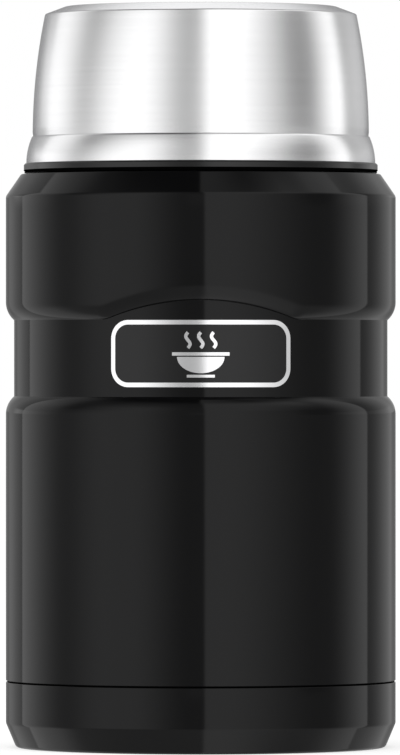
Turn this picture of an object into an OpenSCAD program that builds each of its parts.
// Vacuum-insulated food jar with a screw-in stopper and a screw-on serving cup.
// Millimetres, +Z up, origin at the centre of the foot, front of the jar towards -Y.

/* [Body] */
// Outside diameter of the two wide bands
body_d = 102; // [96:1:112]
// How far the waist lies inside the bands
waist_depth = 2.15; // [1.4:0.05:3]
// Height of the rounded ledge between a band and the waist
ledge_h = 4.7; // [3.4:0.1:6]
// Height of the welded seam above the floor
seam_z = 17.3; // [14:0.1:22]
// Height of the lower band, from the seam to the waist
lower_band_h = 74.5; // [60:0.5:90]
// Height of the waist
waist_h = 19.9; // [16:0.1:26]
// Height of the upper band
upper_band_h = 32.4; // [26:0.1:40]
// Height of the sloping shoulder
shoulder_h = 5.8; // [4:0.1:9]
// Diameter of the flat top of the shoulder
shoulder_d = 94; // [91:0.2:96]
// Sheet thickness of the outer shell
shell_t = 0.55; // [0.4:0.05:0.8]

/* [Arched relief] */
// Rise of the arch above the waist's upper ledge
arch_rise = 4.9; // [3:0.1:7]
// Width of the arch where it meets the ledge
arch_w = 51; // [40:1:60]

/* [Base] */
// Height at which the base starts to taper in
base_taper_h = 6.4; // [4:0.1:9]
// How far the base tapers in at the floor
base_taper_in = 2.7; // [1.5:0.1:3.5]
// Width of the ring that the jar stands on
foot_w = 6; // [4:0.5:10]
// Depth of the underside's hollow
foot_recess = 1.2; // [0.8:0.1:2]
// Sheet thickness of the base
base_t = 0.7; // [0.5:0.05:0.9]
// Width of the visible seam
seam_w = 0.35; // [0.2:0.05:0.6]
// Height of the collar that centres the base in the shell
collar_h = 4; // [3:0.5:6]
// Diameter of the hole that the jar is evacuated through
port_d = 3.2; // [2:0.2:5]
// Diameter of the pocket around that hole
pocket_d = 24; // [18:1:34]
// Depth of that pocket
pocket_h = 1.5; // [1:0.1:2.2]
// How far the covering disc reaches past the pocket's edge
cover_lap = 3; // [2:0.5:6]
// Thickness of the covering disc
cover_disc_t = 0.4; // [0.3:0.05:0.6]

/* [Neck] */
// Outside diameter of the neck
neck_d = 79; // [74:0.5:80]
// Height of the neck above the shoulder
neck_h = 14.4; // [13:0.1:18]
// Vacuum gap between the neck's two walls
neck_gap = 1; // [0.7:0.05:1.4]

/* [Liner] */
// Inside diameter of the food space
liner_d = 86; // [80:0.5:90]
// Sheet thickness of the liner
liner_t = 0.45; // [0.35:0.05:0.6]
// Height of the liner's floor above the jar's foot
liner_floor_z = 12; // [9:0.5:16]
// Radius between the liner's wall and its floor
liner_corner = 12; // [8:0.5:16]
// Width of the seat that the stopper's seal ring rests on
seat_w = 3.2; // [2.4:0.1:4]
// Depth of the seat below the mouth
seat_depth = 17; // [15.5:0.1:20]
// Height of the slope under the seat
liner_slope_h = 6.9; // [5:0.1:10]
// Thickness of the foil around the liner
foil_t = 0.15; // [0.1:0.01:0.3]
// Diameter of the getter
getter_d = 8; // [6:0.5:12]
// Height of the getter
getter_h = 2; // [1:0.1:3]
// Distance from the axis to the getter
getter_at = 26; // [24:0.5:30]

/* [Threads] */
// Distance from one ridge to the next
pitch = 4; // [3.6:0.1:4.4]
// Number of starts of both threads
starts = 4; // [2:1:5]
// Width of a ridge at its root
ridge_root_w = 1.6; // [1.2:0.1:1.7]
// Width of a ridge at its crest
ridge_crest_w = 0.8; // [0.5:0.1:1]
// Height of every ridge above its wall
ridge_h = 1.1; // [0.9:0.05:1.2]
// Angle that each ridge spans
ridge_span = 85; // [60:5:100]
// Gap between the flanks of closed threads
flank_gap = 0.15; // [0.1:0.05:0.2]
// Depth of the outer ridges' start below the mouth
outer_ridge_depth = 7.5; // [6.5:0.1:8.5]
// Depth of the inner ridges' start below the mouth
inner_ridge_depth = 8.5; // [7:0.1:9]

/* [Stopper] */
// How far the edge of the stopper's flange lies inside the neck's outside
flange_in = 0.6; // [0.4:0.1:1.4]
// Thickness of the stopper's flange
flange_t = 2.4; // [2:0.1:3]
// Radial gap between the stopper's wall and the neck's ridges
stopper_gap = 0.4; // [0.3:0.05:0.5]
// Wall thickness of the stopper's body
stopper_t = 1.6; // [1.2:0.1:2]
// Wall thickness of the stopper's cap, inside its body
cap_wall = 2; // [1.4:0.1:3]
// Thickness of the cap's floor
cap_floor_t = 1.6; // [1.2:0.1:2]
// Depth of the hollow that fingers reach into
well_depth = 6; // [5:0.1:7]
// Number of wings from the hub to the rim
wings = 3; // [2:1:4]
// Thickness of a wing
wing_t = 5; // [3:0.5:7]
// Diameter of the stopper's hub
hub_d = 20; // [17:0.5:24]
// Inside diameter of the vent tube
vent_tube_d = 9.6; // [9:0.1:11]
// Height of the seal ring
gasket_h = 2.4; // [2:0.1:3]
// Width of the seal ring
gasket_w = 2.55; // [2.2:0.05:2.8]
// How far the body reaches below the seal ring
plug_h = 2.4; // [1.8:0.1:4]

/* [Relief valve] */
// Diameter of the valve's head
valve_head_d = 12; // [11:0.5:14]
// Thickness of the valve's head
valve_head_t = 1.6; // [1.2:0.1:1.8]
// Diameter of the valve's stem
valve_stem_d = 6.2; // [5:0.1:6.4]
// Radial gap around the stem, where air escapes
valve_air_gap = 0.3; // [0.2:0.05:0.4]
// Lift of the valve
valve_lift = 1.2; // [0.8:0.1:1.4]

/* [Cup] */
// Diameter of the cup's steel shell at its lower edge
cup_d = 91.3; // [91:0.1:95]
// Height of the flared band at the cup's lower edge
cup_band_h = 7; // [6:0.1:9]
// How far the band leans in at its top
cup_band_in = 1.65; // [1.2:0.05:1.7]
// Height of the cup's side above the band, up to its corner
cup_side_h = 32; // [24:0.1:40]
// How far the side leans in at its top
cup_side_in = 3.25; // [2:0.05:5]
// Height of the sloped ring around the top
cup_slope_h = 2; // [1:0.1:4]
// Width of the sloped ring around the top
cup_slope_w = 5.3; // [4:0.1:7]
// Sheet thickness of the cup's shell
cup_shell_t = 0.45; // [0.35:0.05:0.5]
// How far the cup's black rim stands out past the shell's edge
rim_out = 0.65; // [0.2:0.05:1.2]
// Thickness of the cup's black rim
rim_t = 2.5; // [2:0.1:3]
// Height of the narrower foot under the rim
rim_foot_h = 0.55; // [0.3:0.05:1]
// How far that foot lies inside the rim
rim_foot_in = 0.2; // [0.1:0.05:0.4]
// Wall thickness of the cup's liner
cup_liner_t = 1.2; // [1:0.05:1.3]
// Radial gap between the cup's liner and the neck's ridges
cup_gap = 0.5; // [0.3:0.05:0.6]
// Height of the block behind the rim that holds the seal
rim_block_h = 3.4; // [3:0.1:4]
// Section diameter of the ring that seals the shell to the liner
cup_seal_d = 1.1; // [0.9:0.05:1.3]

/* [Hidden] */
$fn = 96;

// Clearances
slip = 0.05;        // between pieces that are pressed or glued together
seat_gap = 0.1;     // between a closed seal and its seat
rest_gap = 0.3;     // between the cup's rim and the shoulder
flange_gap = 0.15;  // between the stopper's flange and the mouth
foam_gap = 0.15;    // around the stopper's foam
plug_gap = 0.4;     // between the stopper's plug and the liner's opening
air_gap = 1;        // between the cup's two ceilings, at the corner
root_sink = 0.25;   // how deep a ridge's root sits in its wall
valve_sink = 0.6;   // how deep the valve's head lies below the stopper's top

// Heights of the body
waist_z = seam_z + lower_band_h;
upper_z = waist_z + waist_h;
shoulder_z = upper_z + upper_band_h;
top_z = shoulder_z + shoulder_h;
mouth_z = top_z + neck_h;
seat_z = mouth_z - seat_depth;
seat_lip_h = 1.6;   // height of the straight edge under the seat
slope_z = seat_z - seat_lip_h - liner_slope_h;

// Radii of the body, the neck and the liner
body_r = body_d / 2;
waist_r = body_r - waist_depth;
neck_r = neck_d / 2;
mouth_r = neck_r - shell_t - neck_gap - liner_t;
seat_r = mouth_r - seat_w;
liner_r = liner_d / 2;
liner_seam_z = liner_floor_z + liner_corner + 2;

// Threads
lead = pitch * starts;
ridge_step = ridge_root_w + flank_gap;  // between the ridges of closed threads
outer_crest_r = neck_r + ridge_h;
inner_crest_r = mouth_r - ridge_h;
outer_ridge_z = mouth_z - outer_ridge_depth;
inner_ridge_z = mouth_z - inner_ridge_depth;

// Stopper
stopper_r = inner_crest_r - stopper_gap;
spigot_r = stopper_r - stopper_t - slip;
well_r = spigot_r - cap_wall;
plug_r = seat_r - plug_gap;
groove_r = stopper_r - gasket_w - slip;
flange_z = mouth_z + flange_gap;
flange_top_z = flange_z + flange_t;
well_z = flange_top_z - well_depth;
cap_z = well_z - cap_floor_t;
hub_z = flange_top_z - valve_head_t - valve_sink;
gasket_z = seat_z + seat_gap;
plug_z = gasket_z - plug_h;
foam_step_z = gasket_z + gasket_h + stopper_t;

// Cup
cup_r = cup_d / 2;
cup_side_r = cup_r - cup_band_in;
cup_corner_r = cup_side_r - cup_side_in;
rim_z = top_z + rest_gap;
cup_z = rim_z + rim_t;
cup_ledge_z = cup_z + cup_band_h;
cup_corner_z = cup_ledge_z + cup_side_h;
cup_top_z = cup_corner_z + cup_slope_h;
cup_bore_r = outer_crest_r + cup_gap;
block_r = cup_r - lean_in(rim_block_h, cup_band_h, cup_band_in) - cup_shell_t - 0.15;
ceiling_z = cup_corner_z - cup_shell_t - air_gap - cup_liner_t;
ceiling_r = min(cup_corner_r - cup_shell_t - 0.35, cup_bore_r - 1.2);
groove_z = cup_z + (rim_block_h - cup_seal_d) / 2;

// Points of an arc about [x, y]
function arc(x, y, r, a0, a1, n = 10) =
    [for (i = [0:n]) let (a = a0 + (a1 - a0) * i / n) [x + r * cos(a), y + r * sin(a)]];

// Unit vector
function unit(v) = v / norm(v);

// Points of a fillet of radius r at corner b between a and c
function fillet(a, b, c, r) =
    let (n = r > 4 ? 12 : 6, u = unit(a - b), v = unit(c - b),
         half = acos(max(-1, min(1, u * v))) / 2,
         m = b + unit(u + v) * r / sin(half),
         s = b + u * r / tan(half) - m,
         turn = (90 - half) * 2 * sign(u.x * v.y - u.y * v.x))
    [for (i = [0:n]) let (t = -turn * i / n)
        m + [s.x * cos(t) - s.y * sin(t), s.x * sin(t) + s.y * cos(t)]];

// An open path whose points are [x, y] or, where a corner is rounded, [x, y, radius]
function rounded(path) =
    [for (i = [0:len(path) - 1])
        let (p = path[i], xy = [p.x, p.y])
        each (len(p) < 3 || i == 0 || i == len(path) - 1 ? [xy]
            : fillet([path[i - 1].x, path[i - 1].y], xy, [path[i + 1].x, path[i + 1].y], p.z))];

// Unit normal on the left of the step from p to q
function left(p, q) = let (d = unit(q - p)) [-d.y, d.x];

// The path moved to its left by t, with mitred corners and ends square to the path
function moved(path, t) =
    let (n = len(path) - 1)
    [for (i = [0:n])
        let (a = left(path[max(i - 1, 0)], path[max(i, 1)]),
             b = left(path[min(i, n - 1)], path[min(i + 1, n)]),
             m = unit(a + b))
        path[i] + m * t / (m * a)];

// The points of a path in the other direction
function reversed(path) = [for (i = [len(path) - 1:-1:0]) path[i]];

// A sheet of thickness t on the left of a path, turned about the axis
module spun_sheet(path, t) {
    rotate_extrude() polygon(concat(path, reversed(moved(path, t))));
}

// A solid turned about the axis from an open path, closed along the axis
module spun_solid(path) {
    rotate_extrude() polygon(concat([[0, path[0].y]], path, [[0, path[len(path) - 1].y]]));
}

// A round ring between two radii and two heights
module ring(r_in, r_out, z0, z1) {
    translate([0, 0, z0]) difference() {
        cylinder(r = r_out, h = z1 - z0);
        translate([0, 0, -1]) cylinder(r = r_in, h = z1 - z0 + 2);
    }
}

// Triangles of a closed bar made of sections of m points each, from section 0 to section n
function bar_faces(n, m) = concat(
    [for (i = [0:n - 1], j = [0:m - 1])
        let (a = m * i + j, b = m * i + (j + 1) % m)
        each [[a, b, b + m], [a, b + m, a + m]]],
    [[for (j = [m - 1:-1:0]) j], [for (j = [0:m - 1]) m * n + j]]);

// Thread ridges on the wall at wall_r, reaching crest_r, whose middle starts at height z
module ridges(wall_r, crest_r, z) {
    outward = crest_r > wall_r;
    sink = outward ? -root_sink : root_sink;
    n = 17;
    fade = 2;      // steps over which a ridge's ends fade into the wall
    points = [for (i = [0:n])
        let (a = ridge_span * i / n,
             rise = z + lead * a / 360,
             f = min(1, i / fade, (n - i) / fade),
             r = wall_r + (crest_r - wall_r) * f + sink / 2 * (1 - f),
             w = ridge_crest_w / 2 * f + ridge_root_w / 2 * (1 - f))
        each [for (p = [[wall_r + sink, -ridge_root_w / 2], [r, -w],
                        [r, w], [wall_r + sink, ridge_root_w / 2]])
            [p.x * cos(a), p.x * sin(a), rise + p.y]]];
    faces = [for (f = bar_faces(n, 4)) outward ? f : reversed(f)];
    for (k = [0:starts - 1]) rotate(k * 360 / starts) polyhedron(points = points, faces = faces);
}

// Radius of an arc that rises h while it moves sideways by d from the vertical
function lean_r(h, d) = (h * h + d * d) / (2 * d);

// How far such an arc has moved sideways at height y
function lean_in(y, h, d) = let (r = lean_r(h, d)) r - sqrt(r * r - y * y);

// Outside of the body, from the seam up to the mouth
function body_path() =
    let (r = lean_r(ledge_h, waist_depth), a = asin(ledge_h / r))
    concat([[body_r, seam_z + seam_w / 2]],
           arc(body_r - r, waist_z - ledge_h, r, 0, a),
           arc(body_r - r, upper_z + ledge_h, r, -a, 0),
           rounded([[body_r, upper_z + ledge_h + 1], [body_r, shoulder_z, 1.6],
                    [shoulder_d / 2, top_z, 0.6], [neck_r, top_z, 0.8], [neck_r, mouth_z - liner_t]]));

// Height of the arch's edge at an angle from the front
function arch_z(a) =
    let (r = lean_r(arch_w / 2, arch_rise), x = body_r * sin(a))
    upper_z + arch_rise - r + sqrt(r * r - x * x);

// What the arched relief takes out of the upper band, for a skin t inside the outside.
// Its edge has the ledge's rounding and runs on a little at both ends.
module arch_room(t) {
    n = 20;
    span = asin(arch_w / 2 / body_r) + 8;  // angle to each side of the front
    deep = 3;      // how far it reaches inside the waist and outside the band
    r = lean_r(ledge_h, waist_depth);
    foot_a = -asin(ledge_h / r) - 20;
    head_a = -14;
    edge = arc(body_r - r, ledge_h, r - t, foot_a, head_a, 7);
    foot = edge[0];
    head = edge[len(edge) - 1];
    bottom_z = arch_z(span) + foot.y - 1;
    section = concat([[foot.x - deep, 0], [head.x + deep, 0],
                      [head.x + deep, head.y + deep / tan(-head_a)]], reversed(edge),
                     [[foot.x - deep, foot.y]]);
    m = len(section);
    points = [for (i = [0:n])
        let (a = span * (2 * i / n - 1), rise = arch_z(a))
        each [for (j = [0:m - 1])
            let (p = section[j])
            [p.x * sin(a), -p.x * cos(a), j < 2 ? bottom_z : p.y + rise]]];
    polyhedron(points = points, faces = bar_faces(n, m));
}

// The outer shell's outside, or its inside where t is the sheet's thickness
module body_solid(t) {
    difference() {
        spun_solid(moved(body_path(), t));
        arch_room(t);
    }
    translate([0, 0, waist_z + 1]) cylinder(r = waist_r - t, h = waist_h + arch_rise + ledge_h);
}

module outer_shell() color([0.03, 0.03, 0.032]) {
    difference() {
        body_solid(0);
        body_solid(shell_t);
        cylinder(r = neck_r - shell_t, h = mouth_z);
        translate([0, 0, seam_z]) cylinder(r = body_r - shell_t, h = 1);
    }
    ridges(neck_r, outer_crest_r, outer_ridge_z);
}

module base_cap() color([0.03, 0.03, 0.032]) {
    collar_r = body_r - shell_t - slip;
    foot_r = body_r - base_taper_in;
    pocket_z = foot_recess + pocket_h;
    spun_sheet(rounded([[port_d / 2, pocket_z], [pocket_d / 2 - 1, pocket_z, 0.9],
                        [pocket_d / 2, foot_recess, 1], [foot_r - foot_w - 1.2, foot_recess, 0.9],
                        [foot_r - foot_w, 0, 1], [foot_r, 0, 1.2], [body_r, base_taper_h, 2],
                        [body_r, seam_z - seam_w / 2], [collar_r, seam_z - seam_w / 2],
                        [collar_r, seam_z + collar_h]]), base_t);
}

// A bead of solder in the port, domed on the outside
module port_bead() color([0.62, 0.60, 0.55]) {
    z = foot_recess + pocket_h;
    dome_h = pocket_h * 0.5;
    translate([0, 0, z]) cylinder(d = port_d, h = base_t + 0.2);
    translate([0, 0, z - dome_h]) cylinder(r1 = port_d * 0.65, r2 = port_d * 0.9, h = dome_h);
}

module port_cover_disc() color([0.6, 0.6, 0.6])
    translate([0, 0, foot_recess - cover_disc_t]) cylinder(d = pocket_d + 2 * cover_lap, h = cover_disc_t);

module inner_liner() color([0.72, 0.72, 0.73]) {
    spun_sheet(rounded([[neck_r, mouth_z], [mouth_r, mouth_z, 0.6], [mouth_r, seat_z, 0.5],
                        [seat_r, seat_z, 0.6], [seat_r, seat_z - seat_lip_h, 0.9],
                        [liner_r, slope_z, 6], [liner_r, liner_seam_z]]), liner_t);
    ridges(mouth_r, inner_crest_r, inner_ridge_z);
}

module liner_bottom() color([0.72, 0.72, 0.73])
    spun_sheet(rounded([[liner_r, liner_seam_z], [liner_r, liner_floor_z, liner_corner],
                        [0, liner_floor_z]]), liner_t);

module foil_wrap() color([0.78, 0.78, 0.8]) {
    r = liner_r + liner_t + slip;
    ring(r, r + foil_t, liner_seam_z, slope_z - 4);
}

module getter() color([0.35, 0.35, 0.36])
    translate([getter_at, 0, foot_recess + base_t]) cylinder(d = getter_d, h = getter_h);

// A bent strap over the getter, with a foot on each side
module getter_clip() color([0.7, 0.7, 0.7]) {
    t = 0.3;
    w = 3;
    foot = 3;
    x = getter_d / 2 + slip;
    h = getter_h + slip;
    translate([getter_at, w / 2, foot_recess + base_t]) rotate([90, 0, 0]) linear_extrude(w)
        polygon([[-x - foot, 0], [-x, 0], [-x, h], [x, h], [x, 0], [x + foot, 0], [x + foot, t],
                 [x + t, t], [x + t, h + t], [-x - t, h + t], [-x - t, t], [-x - foot, t]]);
}

// The stopper's outer wall and floor, with the groove for the seal ring and the vent tube
module stopper_body() color([0.05, 0.05, 0.05]) {
    hollow_r = groove_r - stopper_t;
    groove_top_z = gasket_z + gasket_h + slip;
    chamfer = 1.2;
    difference() {
        spun_solid(rounded([[plug_r - chamfer, plug_z], [plug_r, plug_z + chamfer], [plug_r, gasket_z - slip],
                            [groove_r, gasket_z - slip], [groove_r, groove_top_z],
                            [stopper_r, groove_top_z], [stopper_r, flange_z]]));
        spun_solid([[hollow_r, plug_z + stopper_t], [hollow_r, foam_step_z],
                    [stopper_r - stopper_t, foam_step_z + 1], [stopper_r - stopper_t, flange_z + 1]]);
        translate([0, 0, plug_z - 1]) cylinder(d = vent_tube_d, h = stopper_t + 2);
    }
    ring(vent_tube_d / 2, vent_tube_d / 2 + stopper_t, plug_z, cap_z);
    ridges(stopper_r, mouth_r - stopper_gap, inner_ridge_z - ridge_step);
}

// The stopper's cap: a flange, a hollow for the fingers, and wings that turn it
module stopper_cap() color([0.05, 0.05, 0.05]) {
    hub_r = hub_d / 2;
    hub_h = hub_z - cap_z;
    difference() {
        union() {
            difference() {
                spun_solid(rounded([[spigot_r, cap_z], [spigot_r, flange_z], [neck_r - flange_in, flange_z],
                                    [neck_r - flange_in, flange_top_z, 0.8], [well_r, flange_top_z]]));
                spun_solid([[well_r - 1.4, well_z], [well_r - 0.4, well_z + 1], [well_r, flange_top_z + 1]]);
            }
            translate([0, 0, cap_z]) cylinder(r = hub_r, h = hub_h);
            for (k = [0:wings - 1]) rotate(90 + k * 360 / wings)
                translate([hub_r - 2, -wing_t / 2, cap_z]) cube([well_r - hub_r + 2.5, wing_t, hub_h]);
        }
        translate([0, 0, cap_z - 1]) cylinder(r = valve_stem_d / 2 + valve_air_gap, h = hub_h + 2);
    }
}

module stopper_foam() color([0.93, 0.93, 0.9]) {
    low_r = groove_r - stopper_t - foam_gap;
    high_r = stopper_r - stopper_t - foam_gap;
    low_z = plug_z + stopper_t + slip;
    high_z = foam_step_z + 1 + foam_gap;
    difference() {
        union() {
            translate([0, 0, low_z]) cylinder(r = low_r, h = high_z - low_z + 1);
            translate([0, 0, high_z]) cylinder(r = high_r, h = cap_z - foam_gap - high_z);
        }
        translate([0, 0, plug_z]) cylinder(r = vent_tube_d / 2 + stopper_t + foam_gap, h = seat_depth + 10);
    }
}

module stopper_gasket() color([0.75, 0.75, 0.74])
    ring(stopper_r - gasket_w, stopper_r, gasket_z, gasket_z + gasket_h);

// A mushroom: its head seals the hub's bore, and its barb stops it below the cap's floor
module relief_valve() color([0.6, 0.6, 0.59]) {
    stem_r = valve_stem_d / 2;
    barb_r = stem_r + 1;
    barb_z = cap_z - valve_lift - 0.05;
    head_z = hub_z + seat_gap;
    spun_solid(rounded([[stem_r, barb_z - 1.4], [barb_r, barb_z - 0.8], [barb_r, barb_z], [stem_r, barb_z],
                        [stem_r, head_z], [valve_head_d / 2, head_z],
                        [valve_head_d / 2, head_z + valve_head_t, 0.7], [stem_r, head_z + valve_head_t]]));
}

// Outside of the cup's steel shell, from its lower edge to the middle of its top
function cup_path() =
    let (band_r = lean_r(cup_band_h, cup_band_in), side_r = lean_r(cup_side_h, cup_side_in))
    concat(arc(cup_r - band_r, cup_z, band_r, 0, asin(cup_band_h / band_r), 8),
           rounded(concat(arc(cup_side_r - side_r, cup_ledge_z, side_r, 0.3,
                              asin(cup_side_h / side_r) - 0.45, 14),
                          [[cup_corner_r, cup_corner_z, 0.6], [cup_corner_r - cup_slope_w, cup_top_z, 2],
                           [0, cup_top_z]])));

module cup_shell() color([0.75, 0.75, 0.76]) spun_sheet(cup_path(), cup_shell_t);

// The cup's liner, with the black rim, the seal's groove and the thread
module cup_liner() color([0.06, 0.06, 0.06]) {
    rim_r = cup_r + rim_out;
    bevel = 0.4;
    spun_sheet(rounded([[cup_bore_r, rim_z], [cup_bore_r, mouth_z + 2], [ceiling_r, ceiling_z, 3.2],
                        [0, ceiling_z]]), -cup_liner_t);
    difference() {
        spun_solid([[rim_r - rim_foot_in, rim_z], [rim_r - rim_foot_in, rim_z + rim_foot_h],
                    [rim_r, rim_z + rim_foot_h], [rim_r, cup_z - bevel], [rim_r - bevel, cup_z],
                    [block_r, cup_z], [block_r, cup_z + rim_block_h]]);
        translate([0, 0, rim_z - 1]) cylinder(r = cup_bore_r, h = rim_t + rim_block_h + 2);
        ring(block_r - cup_seal_d + 0.2, block_r + 1, groove_z - slip, groove_z + cup_seal_d + slip);
    }
    ridges(cup_bore_r, neck_r + cup_gap, outer_ridge_z - ridge_step);
}

module cup_seal() color([0.2, 0.2, 0.2])
    rotate_extrude() translate([block_r - cup_seal_d / 2 + 0.25, groove_z + cup_seal_d / 2])
        circle(d = cup_seal_d);

outer_shell();
base_cap();
port_bead();
port_cover_disc();
inner_liner();
liner_bottom();
foil_wrap();
getter();
getter_clip();
stopper_body();
stopper_cap();
stopper_foam();
stopper_gasket();
relief_valve();
cup_shell();
cup_liner();
cup_seal();
